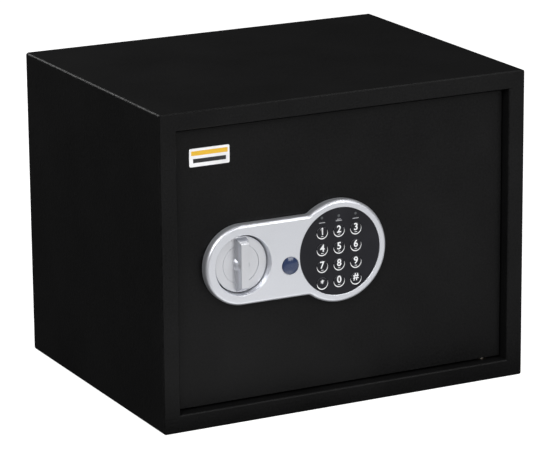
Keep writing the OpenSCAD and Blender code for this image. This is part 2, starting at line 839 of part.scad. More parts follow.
// Sounder, processor, plug sockets and the reset switch
module board_parts() {
    y = ctrl_y + board_t;
    color("#2c2c30") {
        bar_y(6, y, y + 7, ctrl_x0 + 20, ctrl_z1 - 12);
        block([ctrl_x0 + 34, y, ctrl_z0 + 22], [ctrl_x0 + 48, y + 2, ctrl_z0 + 36]);
        for (z = [cable_z, coil_cable_z])
            block([ctrl_x0 + 2, y, z - 4], [ctrl_x0 + 10, y + 5, z + 4]);
        block([ctrl_x0 + 46, y, ctrl_z0 + 2], [ctrl_x0 + 54, y + 5, ctrl_z0 + 10]);
        block([reset_x - 3, y, reset_z - 3], [reset_x + 3, y + 3.5, reset_z + 3]);
    }
}

module cable_grommet() {
    color("#1b1b1b") difference() {
        union() {
            bar_y(cable_hole_r, door_y - 0.6, door_back + 1.4, pad_x, cable_z);
            bar_y(cable_hole_r + 2, door_back, door_back + 1.4, pad_x, cable_z);
        }
        bar_y(key_cable_r + 0.6, door_y - 2, door_back + 2, pad_x, cable_z);
    }
}

// Quarter bend of cable in the plane of its two legs
module bend_piece(at, turn, r, wire_r) {
    translate(at) rotate(turn) rotate_extrude(angle = 90) translate([r, 0]) circle(wire_r);
}

// Cables: keypad, battery and solenoid, each to its socket on the control board
module wiring() {
    y = ctrl_y + board_t + 2.5;
    r = cable_bend;
    coil_x = -22;
    coil_z = sol_z0 + 14;
    supply_x = ctrl_x0 + 50;
    supply_z = tray_z1 - 8;
    color("#2a2a2e") {
        bar_y(key_cable_r, board_y + board_t, y - r, pad_x, cable_z);
        bend_piece([pad_x + r, y - r, cable_z], [0, 0, 90], r, key_cable_r);
        bar_x(key_cable_r, pad_x + r, ctrl_x0 + 2, y, cable_z);
    }
    color("#a3342c") {
        bar_x(coil_cable_r, sol_x + sol_w / 2, coil_x - r, y, coil_z);
        bend_piece([coil_x - r, y, coil_z + r], [90, 90, 0], r, coil_cable_r);
        bar_z(coil_cable_r, coil_z + r, coil_cable_z - r, coil_x, y);
        bend_piece([coil_x + r, y, coil_cable_z - r], [90, -90, 0], r, coil_cable_r);
        bar_x(coil_cable_r, coil_x + r, ctrl_x0 + 2, y, coil_cable_z);
    }
    color("#2a2a2e") {
        bar_z(supply_cable_r, supply_z + r, ctrl_z0 + 2, supply_x, y);
        bend_piece([supply_x, y + r, supply_z + r], [0, 90, 180], r, supply_cable_r);
        bar_y(supply_cable_r, y + r, tray_y0, supply_x, supply_z);
    }
}

// ---- battery bay ----

module battery_tray() {
    mid_x = (tray_x0 + tray_x1) / 2;
    color("#1f1f22") difference() {
        block([tray_x0, tray_y0, tray_z0], [tray_x1, cover_y, tray_z1]);
        block([tray_x0 + tray_wall, tray_y0 + tray_wall, tray_z0 + tray_wall],
              [tray_x1 - tray_wall, cover_y + 1, tray_z1 - tray_wall]);
        block([mid_x - 8, cover_y - 3, tray_z1 - tray_wall - 1], [mid_x + 8, cover_y + 1, tray_z1 + 1]);
    }
}

// Spring-steel end contacts, one strip for each pair of cells
module battery_contacts() {
    color("#c3c5cb") for (z = [tray_z0 + tray_wall, tray_z1 - tray_wall - 0.6], i = [0:cell_count - 1])
        block([cell_x(i) - 4.5, tray_y0 + 3, z], [cell_x(i) + 4.5, tray_y0 + 14, z + 0.6]);
}

function cell_x(i) = (tray_x0 + tray_x1) / 2 + (i - (cell_count - 1) / 2) * cell_pitch;

module battery_cells() {
    z0 = (tray_z0 + tray_z1 - cell_len) / 2;
    tip = 1.4;
    y = tray_y0 + tray_wall + 0.2 + cell_r;
    color("#4d5a66") for (i = [0:cell_count - 1]) {
        lift = (i % 2) * tip;
        bar_z(cell_r, z0 + lift, z0 + cell_len - tip + lift, cell_x(i), y);
        bar_z(2.6, z0, z0 + cell_len, cell_x(i), y);
    }
}

module battery_lid() {
    color("#26262a") {
        block([tray_x0 - lid_edge, cover_y, tray_z0 - lid_edge],
              [tray_x1 + lid_edge, cover_y + lid_t, tray_z1 + lid_edge]);
        block([tray_x0 + 2.4, cover_y - 1.4, tray_z0 + 2.4], [tray_x1 - 2.4, cover_y, tray_z1 - 2.4]);
    }
}

module reset_button() {
    color("#b3261e") {
        bar_y(reset_r, cover_y - cover_sheet, cover_y + 1.6, reset_x, reset_z);
        bar_y(reset_r + 1.2, cover_y - cover_sheet - 1.6, cover_y - cover_sheet, reset_x, reset_z);
        bar_y(1.5, door_back + 12, cover_y - cover_sheet - 1.6, reset_x, reset_z);
    }
}

body_wrap();
front_frame();
rear_panel();
floor_carpet();
hinge_bushes();
door_stops();
door_plate();
hinge_blocks();
hinge_pins();
bolt_guide();
inner_cover();
cover_screws();
badge_plate();
panel_bezel();
bezel_gasket();
bezel_screws();
keypad_face();
keypad_board();
key_switches();
indicator_leds();
knob_bush();
lock_barrel();
lock_nut();
solenoid_bracket();
solenoid_yoke();
solenoid_coil();
solenoid_spring();
guide_screws();
control_board();
board_parts();
cable_grommet();
wiring();
battery_tray();
battery_contacts();
battery_cells();
knob();
spindle();
crank();
crank_screw();
bolt_carriage();
locking_bolts();
bolt_rivets();
plunger();
lock_plug();
lock_cam();
keyhole_cap();
reset_button();
battery_lid();
key(0, 0);  // key_one
key(1, 0);  // key_two
key(2, 0);  // key_three
key(0, 1);  // key_four
key(1, 1);  // key_five
key(2, 1);  // key_six
key(0, 2);  // key_seven
key(1, 2);  // key_eight
key(2, 2);  // key_nine
key(0, 3);  // key_star
key(1, 3);  // key_zero
key(2, 3);  // key_hash
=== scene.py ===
# Home safe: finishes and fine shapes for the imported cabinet, door, control panel and bolt work.
import json
import math

import bmesh
import bpy
from mathutils import Matrix, Vector
from mathutils.geometry import delaunay_2d_cdt

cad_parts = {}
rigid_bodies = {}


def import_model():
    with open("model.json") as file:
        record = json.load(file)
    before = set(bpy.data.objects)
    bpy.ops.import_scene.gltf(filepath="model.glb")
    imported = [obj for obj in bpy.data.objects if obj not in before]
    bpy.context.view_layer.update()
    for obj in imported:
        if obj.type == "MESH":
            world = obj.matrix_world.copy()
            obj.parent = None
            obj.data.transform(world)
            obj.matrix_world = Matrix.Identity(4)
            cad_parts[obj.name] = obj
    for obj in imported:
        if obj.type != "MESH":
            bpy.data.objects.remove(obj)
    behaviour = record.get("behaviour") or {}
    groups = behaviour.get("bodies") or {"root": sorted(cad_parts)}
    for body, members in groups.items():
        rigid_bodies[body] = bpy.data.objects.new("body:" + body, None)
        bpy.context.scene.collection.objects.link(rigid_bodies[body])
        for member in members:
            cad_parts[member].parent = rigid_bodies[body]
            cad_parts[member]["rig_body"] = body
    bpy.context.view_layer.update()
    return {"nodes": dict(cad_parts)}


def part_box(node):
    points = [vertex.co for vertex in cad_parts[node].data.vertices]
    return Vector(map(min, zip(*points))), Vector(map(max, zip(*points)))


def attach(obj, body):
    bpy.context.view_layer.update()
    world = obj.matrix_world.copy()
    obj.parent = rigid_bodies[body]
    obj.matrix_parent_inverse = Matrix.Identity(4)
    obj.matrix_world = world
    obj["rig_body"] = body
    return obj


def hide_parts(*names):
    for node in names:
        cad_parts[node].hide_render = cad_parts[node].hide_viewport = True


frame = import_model()
scene = bpy.context.scene
MM = 0.001


# ---- places and sizes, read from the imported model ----

def centre_of(node):
    low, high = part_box(node)
    return (low + high) / 2


def front_of(node):
    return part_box(node)[0].y


KNOB = centre_of("knob")
CAP = centre_of("keyhole_cap")
PAD = centre_of("keypad_face")
PANEL_LOW, PANEL_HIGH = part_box("panel_bezel")
PANEL_FACE, PANEL_BASE = PANEL_LOW.y, PANEL_HIGH.y
KNOB_END_R = KNOB.x - PANEL_LOW.x
PAD_END_R = PANEL_HIGH.x - PAD.x
PAD_R = (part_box("keypad_face")[1].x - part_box("keypad_face")[0].x) / 2 - 2.4 * MM
KNOB_R = (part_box("knob")[1].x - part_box("knob")[0].x) / 2
WELL_R = KNOB_R + 2.0 * MM
CAP_R = (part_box("keyhole_cap")[1].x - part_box("keyhole_cap")[0].x) / 2
FRAME_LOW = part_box("front_frame")[0]
PRINT_LIFT = 0.03 * MM
KEYS = {
    "key_one": "1", "key_two": "2", "key_three": "3",
    "key_four": "4", "key_five": "5", "key_six": "6",
    "key_seven": "7", "key_eight": "8", "key_nine": "9",
    "key_star": "*", "key_zero": "0", "key_hash": "#",
}


# ---- finishes ----

class Wire:
    """A socket's value in a finish; sums on it add Math nodes."""

    def __init__(self, finish, socket):
        self.finish, self.socket = finish, socket

    def _sum(self, operation, first, second=None):
        values = {0: first} if second is None else {0: first, 1: second}
        return self.finish.node("ShaderNodeMath", {"operation": operation}, values)

    def __add__(self, other):
        return self._sum("ADD", self, other)

    def __radd__(self, other):
        return self._sum("ADD", other, self)

    def __sub__(self, other):
        return self._sum("SUBTRACT", self, other)

    def __rsub__(self, other):
        return self._sum("SUBTRACT", other, self)

    def __mul__(self, other):
        return self._sum("MULTIPLY", self, other)

    def __rmul__(self, other):
        return self._sum("MULTIPLY", other, self)

    def __truediv__(self, other):
        return self._sum("DIVIDE", self, other)

    def __pow__(self, other):
        return self._sum("POWER", self, other)

    def fraction(self):
        return self._sum("FRACT", self)

    def larger(self, other):
        return self._sum("MAXIMUM", self, other)

    def wave(self):
        return self._sum("SINE", self)


class Finish:
    """A node material that starts with one Principled shader."""

    def __init__(self, name, colour, rough, metal=0.0, coat=0.0, coat_rough=0.1, specular=0.5, sheen=0.0):
        self.material = bpy.data.materials.new(name)
        self.material.use_nodes = True
        self.tree = self.material.node_tree
        self.tree.nodes.clear()
        self.shader = self.tree.nodes.new("ShaderNodeBsdfPrincipled")
        out = self.tree.nodes.new("ShaderNodeOutputMaterial")
        self.tree.links.new(self.shader.outputs[0], out.inputs[0])
        self.set("Base Color", (*colour, 1))
        self.set("Roughness", rough)
        self.set("Metallic", metal)
        self.set("Coat Weight", coat)
        self.set("Coat Roughness", coat_rough)
        self.set("Specular IOR Level", specular)
        self.set("Sheen Weight", sheen)
        self.place = self.node("ShaderNodeTexCoord", {}, {}, "Object")

    def set(self, socket, value):
        self._put(self.shader.inputs[socket], value)

    def _put(self, socket, value):
        if isinstance(value, Wire):
            self.tree.links.new(value.socket, socket)
        else:
            socket.default_value = value

    def node(self, kind, settings, values, output=0):
        made = self.tree.nodes.new(kind)
        for name, value in settings.items():
            if name == "stops":
                ramp = made.color_ramp
                while len(ramp.elements) < len(value):
                    ramp.elements.new(0.5)
                for element, (at, colour) in zip(ramp.elements, value):
                    element.position, element.color = at, colour
            else:
                setattr(made, name, value)
        for name, value in values.items():
            self._put(made.inputs[name], value)
        return Wire(self, made.outputs[output])

    def noise(self, scale, detail=2.0, rough=0.5, place=None, warp=0.0):
        return self.node("ShaderNodeTexNoise", {}, {
            "Vector": place or self.place, "Scale": scale, "Detail": detail,
            "Roughness": rough, "Distortion": warp})

    def cells(self, scale, feature="F1", place=None):
        return self.node("ShaderNodeTexVoronoi", {"feature": feature},
                         {"Vector": place or self.place, "Scale": scale}, "Distance")

    def stretched(self, x, y, z):
        return self.node("ShaderNodeMapping", {}, {"Vector": self.place, "Scale": (x, y, z)})

    def axis(self, name):
        return self.node("ShaderNodeSeparateXYZ", {}, {0: self.place}, name)

    def range(self, value, low, high, to_low, to_high):
        return self.node("ShaderNodeMapRange", {}, {
            "Value": value, "From Min": low, "From Max": high, "To Min": to_low, "To Max": to_high})

    def blend(self, share, first, second):
        return self.node("ShaderNodeMix", {"data_type": "RGBA"}, {
            0: share, 6: first if isinstance(first, Wire) else (*first, 1),
            7: second if isinstance(second, Wire) else (*second, 1)}, 2)

    def bump(self, height, strength, depth, under=None):
        values = {"Height": height, "Strength": strength, "Distance": depth}
        if under:
            values["Normal"] = under
        return self.node("ShaderNodeBump", {}, values)


def powder_coat(name, dark, light, rough):
    """Fine-textured powder coat: small even grains, with a softer unevenness beneath."""
    f = Finish(name, dark, rough, specular=0.11)
    cloud = f.noise(14, 3)
    speck = f.noise(520, 3, 0.65)
    orange = f.noise(260, 2, 0.5, warp=0.4)
    f.set("Base Color", f.blend(f.range(cloud * 0.3 + speck * 0.7, 0.36, 0.64, 0, 1), dark, light))
    f.set("Roughness", f.range(speck, 0.3, 0.7, rough - 0.08, rough + 0.1))
    under = f.bump(orange, 0.35, 0.0005)
    f.set("Normal", f.bump(speck, 0.3, 0.0002, under))
    return f.material


def silver_paint(name, colour, rough, metal=0.75):
    """Satin silver lacquer with fine metal flake."""
    f = Finish(name, colour, rough, metal=metal, coat=0.25, coat_rough=0.2)
    flake = f.cells(2600)
    cloud = f.noise(30, 2)
    deep = tuple(c * 0.93 for c in colour)
    f.set("Base Color", f.blend(f.range(flake * 0.6 + cloud * 0.4, 0.2, 0.7, 0, 1), deep, colour))
    f.set("Roughness", f.range(cloud, 0.3, 0.7, rough - 0.03, rough + 0.04))
    f.set("Normal", f.bump(flake, 0.05, 0.00004))
    return f.material


def plastic(name, colour, rough, grain=1200, depth=0.00004, coat=0.0, strength=0.25, specular=0.5):
    """Moulded plastic with a fine spark-eroded grain."""
    f = Finish(name, colour, rough, coat=coat, coat_rough=0.08, specular=specular)
    fine = f.noise(grain, 3)
    cloud = f.noise(40, 2)
    light = tuple(min(1, c * 1.25 + 0.002) for c in colour)
    f.set("Base Color", f.blend(f.range(cloud, 0.35, 0.65, 0, 1), colour, light))
    f.set("Roughness", f.range(fine, 0.3, 0.7, rough - 0.04, rough + 0.05))
    f.set("Normal", f.bump(fine, strength, depth))
    return f.material


def brushed(name, colour, rough, along=(1, 1, 1), metal=1.0, tint=None):
    """Plated or brushed metal; along is small on the axis that the lines follow."""
    f = Finish(name, colour, rough, metal=metal)
    lines = f.noise(900, 3, 0.6, f.stretched(*along))
    cloud = f.noise(35, 3, 0.6)
    deep = tint or tuple(c * 0.85 for c in colour)
    f.set("Base Color", f.blend(f.range(cloud, 0.35, 0.7, 0, 1), colour, deep))
    f.set("Roughness", f.range(lines * 0.6 + cloud * 0.4, 0.35, 0.65, rough - 0.06, rough + 0.1))
    f.set("Normal", f.bump(lines, 0.12, 0.00004))
    return f.material


def felt(name, dark, light):
    """Needled felt: matted fibres in two sizes."""
    f = Finish(name, dark, 0.95, specular=0.15, sheen=0.3)
    fibre = f.noise(700, 4, 0.7, f.stretched(1, 0.35, 1), warp=1.5)
    cross = f.noise(650, 4, 0.7, f.stretched(0.35, 1, 1), warp=1.5)
    tuft = f.noise(90, 3)
    mat = fibre * 0.4 + cross * 0.4 + tuft * 0.2
    f.set("Base Color", f.blend(f.range(mat, 0.38, 0.62, 0, 1), dark, light))
    f.set("Normal", f.bump(fibre + cross, 0.8, 0.0006))
    return f.material


def circuit(name):
    """Solder mask with slightly raised tracks and bare pads."""
    f = Finish(name, (0.012, 0.1, 0.04), 0.35, coat=0.3)
    x, z = f.axis("X"), f.axis("Z")
    lane = (f.noise(60, 0, 0.5, f.stretched(1, 1, 0.2)) * 9 + x * 260).fraction()
    track = f.range(lane, 0.55, 0.62, 0, 1)
    across = f.range((f.noise(50, 0, 0.5, f.stretched(0.2, 1, 1)) * 7 + z * 240).fraction(), 0.6, 0.66, 0, 1)
    lines = track.larger(across)
    pads = f.range(f.cells(230), 0.16, 0.2, 1, 0)
    green = f.blend(lines, (0.01, 0.08, 0.035), (0.02, 0.16, 0.06))
    f.set("Base Color", f.blend(pads, green, (0.62, 0.6, 0.56)))
    f.set("Metallic", pads)
    f.set("Normal", f.bump(lines + pads, 0.35, 0.00006))
    return f.material


def rubber(name, colour):
    f = Finish(name, colour, 0.75, specular=0.3)
    skin = f.noise(600, 4, 0.6)
    light = tuple(c * 1.6 + 0.004 for c in colour)
    f.set("Base Color", f.blend(f.range(skin, 0.35, 0.65, 0, 1), colour, light))
    f.set("Roughness", f.range(skin, 0.3, 0.7, 0.68, 0.85))
    f.set("Normal", f.bump(skin, 0.3, 0.00008))
    return f.material


def ink(name, colour, rough=0.5):
    """Screen-printed ink, a little uneven; also the finish of the painted grey highlight along the keys'
    edges.
    """
    f = Finish(name, colour, rough)
    speck = f.noise(1800, 2)
    f.set("Base Color", f.blend(f.range(speck, 0.3, 0.6, 0, 1), tuple(c * 0.9 for c in colour), colour))
    f.set("Roughness", f.range(speck, 0.3, 0.7, rough - 0.05, rough + 0.08))
    return f.material


CABINET_PAINT = powder_coat("cabinet_paint", (0.0025, 0.0025, 0.0026), (0.0085, 0.0085, 0.0087), 0.45)
DOOR_PAINT = powder_coat("door_paint", (0.0025, 0.0025, 0.0026), (0.008, 0.008, 0.0082), 0.4)
COVER_PAINT = powder_coat("cover_paint", (0.018, 0.018, 0.02), (0.034, 0.034, 0.037), 0.5)
BEZEL_SILVER = silver_paint("bezel_silver", (0.74, 0.755, 0.8), 0.4, 0.75)
KNOB_SILVER = silver_paint("knob_silver", (0.74, 0.75, 0.785), 0.38, 0.88)
PAD_BLACK = plastic("pad_black", (0.0065, 0.0065, 0.0095), 0.2, strength=0.02, specular=0.24)
KEY_BLACK = plastic("key_black", (0.0075, 0.0075, 0.0105), 0.22, strength=0.02, specular=0.24)
CAP_BLUE = plastic("cap_blue", (0.02, 0.033, 0.082), 0.25, coat=0.6, strength=0.03, specular=0.3)
LENS = plastic("lamp_lens", (0.05, 0.055, 0.06), 0.2, coat=0.5, strength=0.03)
RESET_RED = plastic("reset_red", (0.5, 0.015, 0.01), 0.3, coat=0.4, strength=0.1)
TRAY_PLASTIC = plastic("tray_plastic", (0.03, 0.03, 0.033), 0.45, 700, 0.0001)
CHIP_BLACK = plastic("chip_black", (0.02, 0.02, 0.021), 0.55)
CABLE_SKIN = plastic("cable", (0.02, 0.02, 0.022), 0.5, 300, 0.0001)
ZINC = brushed("steel", (0.5, 0.5, 0.51), 0.38, (1, 1, 1), tint=(0.44, 0.43, 0.38))
BOLT_STEEL = brushed("bolt_steel", (0.64, 0.64, 0.66), 0.2, (0.04, 1, 1))
SPRING_STEEL = brushed("spring_steel", (0.5, 0.5, 0.52), 0.3)
LOCK_METAL = brushed("lock_metal", (0.52, 0.51, 0.49), 0.3, (1, 0.05, 1))
BRASS = brushed("plug_brass", (0.6, 0.44, 0.18), 0.32, (1, 0.05, 1), tint=(0.5, 0.34, 0.13))
BRONZE = brushed("bronze", (0.2, 0.15, 0.09), 0.42, tint=(0.13, 0.1, 0.07))
CARPET = felt("carpet", (0.03, 0.03, 0.034), (0.085, 0.085, 0.094))
BOARD = circuit("circuit_board")
GASKET = rubber("gasket_rubber", (0.01, 0.01, 0.01))
WHITE_INK = ink("white_ink", (0.86, 0.86, 0.88))
# painted highlight: thin grey arcs along the keys' top edges, standing for light caught by the gap round
# each key
EDGE_HIGHLIGHT_GREY = ink("painted_edge_highlight", (0.16, 0.16, 0.18))
AMBER_INK = ink("amber_ink", (0.85, 0.5, 0.03))
BLACK_INK = ink("black_ink", (0.012, 0.012, 0.013))
BADGE_WHITE = plastic("badge", (0.78, 0.78, 0.79), 0.35, coat=0.3, strength=0.05)


def copper_winding(name):
    """Taped winding: fine turns round the upright axis, with painted shade darkening the grooves between
    them.
    """
    f = Finish(name, (0.4, 0.14, 0.05), 0.35, metal=0.6)
    pitch = 0.6 * MM
    turn = (f.axis("Z") * (math.tau / pitch)).wave()
    # painted shade: the base colour goes dark in the grooves where the bump dips between turns
    f.set("Base Color", f.blend(f.range(turn, -1, 1, 0, 1), (0.2, 0.06, 0.02), (0.55, 0.2, 0.07)))
    f.set("Normal", f.bump(turn, 0.6, 0.0001))
    return f.material


def cell_jacket(name, low, high):
    """Plain battery jacket: a dark sleeve with a copper-coloured shoulder at one end."""
    f = Finish(name, (0.05, 0.06, 0.08), 0.3, metal=0.4, coat=0.4)
    z = f.axis("Z")
    length = high - low
    split = f.range(z, low + length * 0.68, low + length * 0.69, 0, 1)
    fine = f.noise(500, 3)
    f.set("Base Color", f.blend(split, (0.03, 0.035, 0.05), (0.5, 0.27, 0.1)))
    f.set("Roughness", f.range(fine, 0.3, 0.7, 0.24, 0.36))
    return f.material


COIL = copper_winding("coil_wire")
CELL_LOW, CELL_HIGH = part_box("battery_cells")
CELLS = cell_jacket("cell_jacket", CELL_LOW.z, CELL_HIGH.z)

NODE_FINISH = {
    "body_wrap": CABINET_PAINT, "front_frame": CABINET_PAINT, "rear_panel": CABINET_PAINT,
    "floor_carpet": CARPET, "hinge_bushes": BRONZE, "door_stops": CABINET_PAINT,
    "door_plate": DOOR_PAINT, "hinge_blocks": DOOR_PAINT, "hinge_pins": ZINC, "bolt_guide": DOOR_PAINT,
    "inner_cover": COVER_PAINT, "cover_screws": ZINC, "badge_plate": BADGE_WHITE,
    "panel_bezel": BEZEL_SILVER, "bezel_gasket": GASKET, "bezel_screws": ZINC,
    "keypad_face": PAD_BLACK, "keypad_board": BOARD, "key_switches": CHIP_BLACK, "indicator_leds": LENS,
    "knob_bush": BRONZE, "lock_barrel": LOCK_METAL, "lock_nut": ZINC, "solenoid_bracket": ZINC,
    "solenoid_yoke": ZINC, "solenoid_coil": COIL, "solenoid_spring": SPRING_STEEL, "guide_screws": ZINC,
    "control_board": BOARD, "board_parts": CHIP_BLACK, "cable_grommet": GASKET, "wiring": CABLE_SKIN,
    "battery_tray": TRAY_PLASTIC, "battery_contacts": SPRING_STEEL, "battery_cells": CELLS,
    "knob": KNOB_SILVER, "spindle": ZINC, "crank": ZINC, "crank_screw": ZINC,
    "bolt_carriage": ZINC, "locking_bolts": BOLT_STEEL, "bolt_rivets": ZINC, "plunger": BOLT_STEEL,
    "lock_plug": BRASS, "lock_cam": ZINC, "keyhole_cap": CAP_BLUE, "reset_button": RESET_RED,
    "battery_lid": TRAY_PLASTIC,
    **{key: KEY_BLACK for key in KEYS},
}
for node, finish in NODE_FINISH.items():
    mesh = frame["nodes"][node].data
    mesh.materials.clear()
    mesh.materials.append(finish)


# ---- mesh making ----


def piece_from(name, build, finishes, body, stands_for=()):
    """A new piece from a bmesh, riding on a body."""
    mesh = bpy.data.meshes.new(name)
    build.to_mesh(mesh)
    build.free()
    for finish in finishes:
        mesh.materials.append(finish)
    piece = bpy.data.objects.new(name, mesh)
    scene.collection.objects.link(piece)
    return settle(piece, body, stands_for)


def settle(piece, body, stands_for=()):
    """The piece, riding on its body, in place of the nodes it stands for."""
    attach(piece, body)
    if stands_for:
        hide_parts(*stands_for)
    return piece


def applied(piece):
    """The piece with its modifiers made part of its mesh."""
    bpy.context.view_layer.update()
    graph = bpy.context.evaluated_depsgraph_get()
    made = bpy.data.meshes.new_from_object(
        piece.evaluated_get(graph), preserve_all_data_layers=True, depsgraph=graph)
    piece.modifiers.clear()
    piece.data = made
    return piece


def evened(piece):
    """The piece shaded evenly over its flat faces and roundings."""
    even = piece.modifiers.new("even", "WEIGHTED_NORMAL")
    even.keep_sharp = True
    even.weight = 60
    return applied(piece)


def softened(node, name, width, segments=2, angle=32, keep=None):
    """The CAD node's shape with its edges rounded over, in place of the node.

    keep says, from an edge's two ends, which edges stay as they are."""
    source = frame["nodes"][node]
    build = bmesh.new()
    build.from_mesh(source.data)
    bmesh.ops.remove_doubles(build, verts=build.verts, dist=2e-6)
    free = [e for e in build.edges if not (keep and keep(e.verts[0].co, e.verts[1].co))]
    bmesh.ops.dissolve_limit(build, angle_limit=math.radians(0.6), verts=build.verts, edges=free)
    weight = build.edges.layers.float.new("bevel_weight_edge")
    for edge in build.edges:
        folded = len(edge.link_faces) == 2 and edge.calc_face_angle(0) > math.radians(angle)
        kept = keep and keep(edge.verts[0].co, edge.verts[1].co)
        edge[weight] = 1.0 if folded and not kept else 0.0
    mesh = bpy.data.meshes.new(name)
    build.to_mesh(mesh)
    build.free()
    mesh.materials.append(NODE_FINISH[node])
    piece = bpy.data.objects.new(name, mesh)
    scene.collection.objects.link(piece)
    rounding = piece.modifiers.new("round", "BEVEL")
    rounding.limit_method = "WEIGHT"
    rounding.width = width
    rounding.segments = segments
    rounding.use_clamp_overlap = True
    rounding.miter_outer = "MITER_ARC"
    for polygon in mesh.polygons:
        polygon.use_smooth = True
    evened(piece)
    return settle(piece, source["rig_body"], [node])


def ring_faces(build, first, second, finish=0):
    """Quads between two loops of the same length."""
    count = len(first)
    for i in range(count):
        face = build.faces.new((first[i], first[(i + 1) % count], second[(i + 1) % count], second[i]))
        face.smooth = True
        face.material_index = finish


def circle_points(x, z, r, count=96):
    turns = (math.tau * i / count for i in range(count))
    return [(x + r * math.cos(a), z + r * math.sin(a)) for a in turns]


def loop(build, points, y):
    return [build.verts.new((x, y, z)) for x, z in points]


def lathe(build, x, z, profile, count=96, finish=0):
    """Turned shape round an axis along y. Profile: radius and y pairs from one pole or rim to the other."""
    last = None
    for r, y in profile:
        if r < 1e-7:
            now = [build.verts.new((x, y, z))]
        else:
            now = loop(build, circle_points(x, z, r, count), y)
        if last:
            if len(last) == 1 and len(now) > 1:
                for i in range(count):
                    face = build.faces.new((last[0], now[(i + 1) % count], now[i]))
                    face.smooth, face.material_index = True, finish
            elif len(now) == 1 and len(last) > 1:
                for i in range(count):
                    face = build.faces.new((last[i], last[(i + 1) % count], now[0]))
                    face.smooth, face.material_index = True, finish
            elif len(now) > 1:
                ring_faces(build, last, now, finish)
        last = now


def rounded(r_in, r_out, y, depth, steps=4, inward=False):
    """Quarter-round between radius r_in on the face y and r_out at y + depth."""
    found = []
    for i in range(steps + 1):
        a = math.pi / 2 * i / steps
        found.append((r_in + (r_out - r_in) * math.sin(a), y + depth * (1 - math.cos(a))))
    return found[::-1] if inward else found


def web_between(build, outer, holes, y, face_front=True):
    """Flat sheet at y between an outer loop of vertices and hole loops."""
    loops = [outer, *holes]
    points = [v for l in loops for v in l]
    flat = [Vector((v.co.x, v.co.z)) for v in points]
    edges, start = [], 0
    for l in loops:
        edges += [(start + i, start + (i + 1) % len(l)) for i in range(len(l))]
        start += len(l)
    found, _, triangles, _, _, _ = delaunay_2d_cdt(flat, edges, [], 1, 1e-9)
    at = {}
    for i, v in enumerate(flat):
        at[(round(v.x, 7), round(v.y, 7))] = points[i]

    def inside(px, pz, l):
        hit = False
        for i in range(len(l)):
            a, b = l[i].co, l[(i + 1) % len(l)].co
            if (a.z > pz) != (b.z > pz) and px < (b.x - a.x) * (pz - a.z) / (b.z - a.z) + a.x:
                hit = not hit
        return hit

    for triangle in triangles:
        corners = [found[i] for i in triangle]
        px = sum(c.x for c in corners) / 3
        pz = sum(c.y for c in corners) / 3
        if not inside(px, pz, outer) or any(inside(px, pz, h) for h in holes):
            continue
        verts = [at[(round(c.x, 7), round(c.y, 7))] for c in corners]
        face = build.faces.new(verts)
        face.normal_update()
        if (face.normal.y < 0) != face_front:
            face.normal_flip()
        face.smooth = True


def outward(build):
    bmesh.ops.recalc_face_normals(build, faces=build.faces)


def turned_front(build, over=0.0):
    """Faces that look back by more than over are turned to the front."""
    for face in build.faces:
        face.normal_update()
        if face.normal.y > over:
            face.normal_flip()


def weighted(piece, sharp=30):
    """Even shading over rounded edges and flat faces; true corners stay crisp."""
    for edge in piece.data.edges:
        edge.use_edge_sharp = False
    build = bmesh.new()
    build.from_mesh(piece.data)
    for edge in build.edges:
        if len(edge.link_faces) == 2 and edge.calc_face_angle(0) > math.radians(sharp):
            edge.smooth = False
    build.to_mesh(piece.data)
    build.free()
    return evened(piece)


# ---- cabinet and door ----

SEAM_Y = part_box("body_wrap")[0].y


def at_seam(first, second):
    """Edges of the shut joint between the front frame and the cabinet's sides."""
    return abs(first.y - SEAM_Y) < 0.05 * MM and abs(second.y - SEAM_Y) < 0.05 * MM


BOLTS_LOW, BOLTS_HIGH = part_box("locking_bolts")


def in_window(corner):
    """A corner of one of the windows the bolts pass through, in the left jamb."""
    level = BOLTS_LOW.y - 3 * MM < corner.y < BOLTS_HIGH.y + 3 * MM
    return level and corner.x < FRAME_LOW.x + 20 * MM


def at_seam_or_window(first, second):
    return at_seam(first, second) or in_window(first) or in_window(second)


softened("body_wrap", "cabinet_shell", 0.5 * MM, 2, keep=at_seam)
softened("front_frame", "front_frame_sheet", 0.6 * MM, 3, 20, keep=at_seam_or_window)
softened("rear_panel", "rear_sheet", 0.4 * MM)
softened("door_plate", "door_skin", 0.6 * MM, 3)
softened("inner_cover", "door_cover", 0.4 * MM)
softened("bolt_guide", "bolt_guide_plate", 0.4 * MM)
softened("hinge_blocks", "hinge_block_pair", 0.6 * MM)
softened("door_stops", "door_stop_tabs", 0.4 * MM)
softened("battery_lid", "battery_bay_lid", 0.4 * MM)
softened("bolt_carriage", "carriage_plate", 0.25 * MM)


# ---- control panel ----

FILLET = 7 * MM
EDGE = 3.4 * MM


def arc_points(x, z, r, start, stop, count):
    return [(x + r * math.cos(a), z + r * math.sin(a))
            for a in (math.radians(start + (stop - start) * i / count) for i in range(count + 1))]


def panel_outline(inset):
    """Peanut outline, small end left, large end right, with hollow fillets at the neck."""
    half = KNOB_END_R
    fx = PAD.x - math.sqrt((PAD_END_R + FILLET) ** 2 - (half + FILLET) ** 2)
    fz = half + FILLET
    turn = math.degrees(math.atan2(fz, fx - PAD.x))
    points = arc_points(KNOB.x, KNOB.z, KNOB_END_R - inset, 90, 270, 56)
    points += arc_points(fx, KNOB.z - fz, FILLET + inset, 90, 180 - turn, 10)
    points += arc_points(PAD.x, PAD.z, PAD_END_R - inset, -turn, turn, 100)[1:-1]
    points += arc_points(fx, KNOB.z + fz, FILLET + inset, turn - 180, -90, 10)
    return points


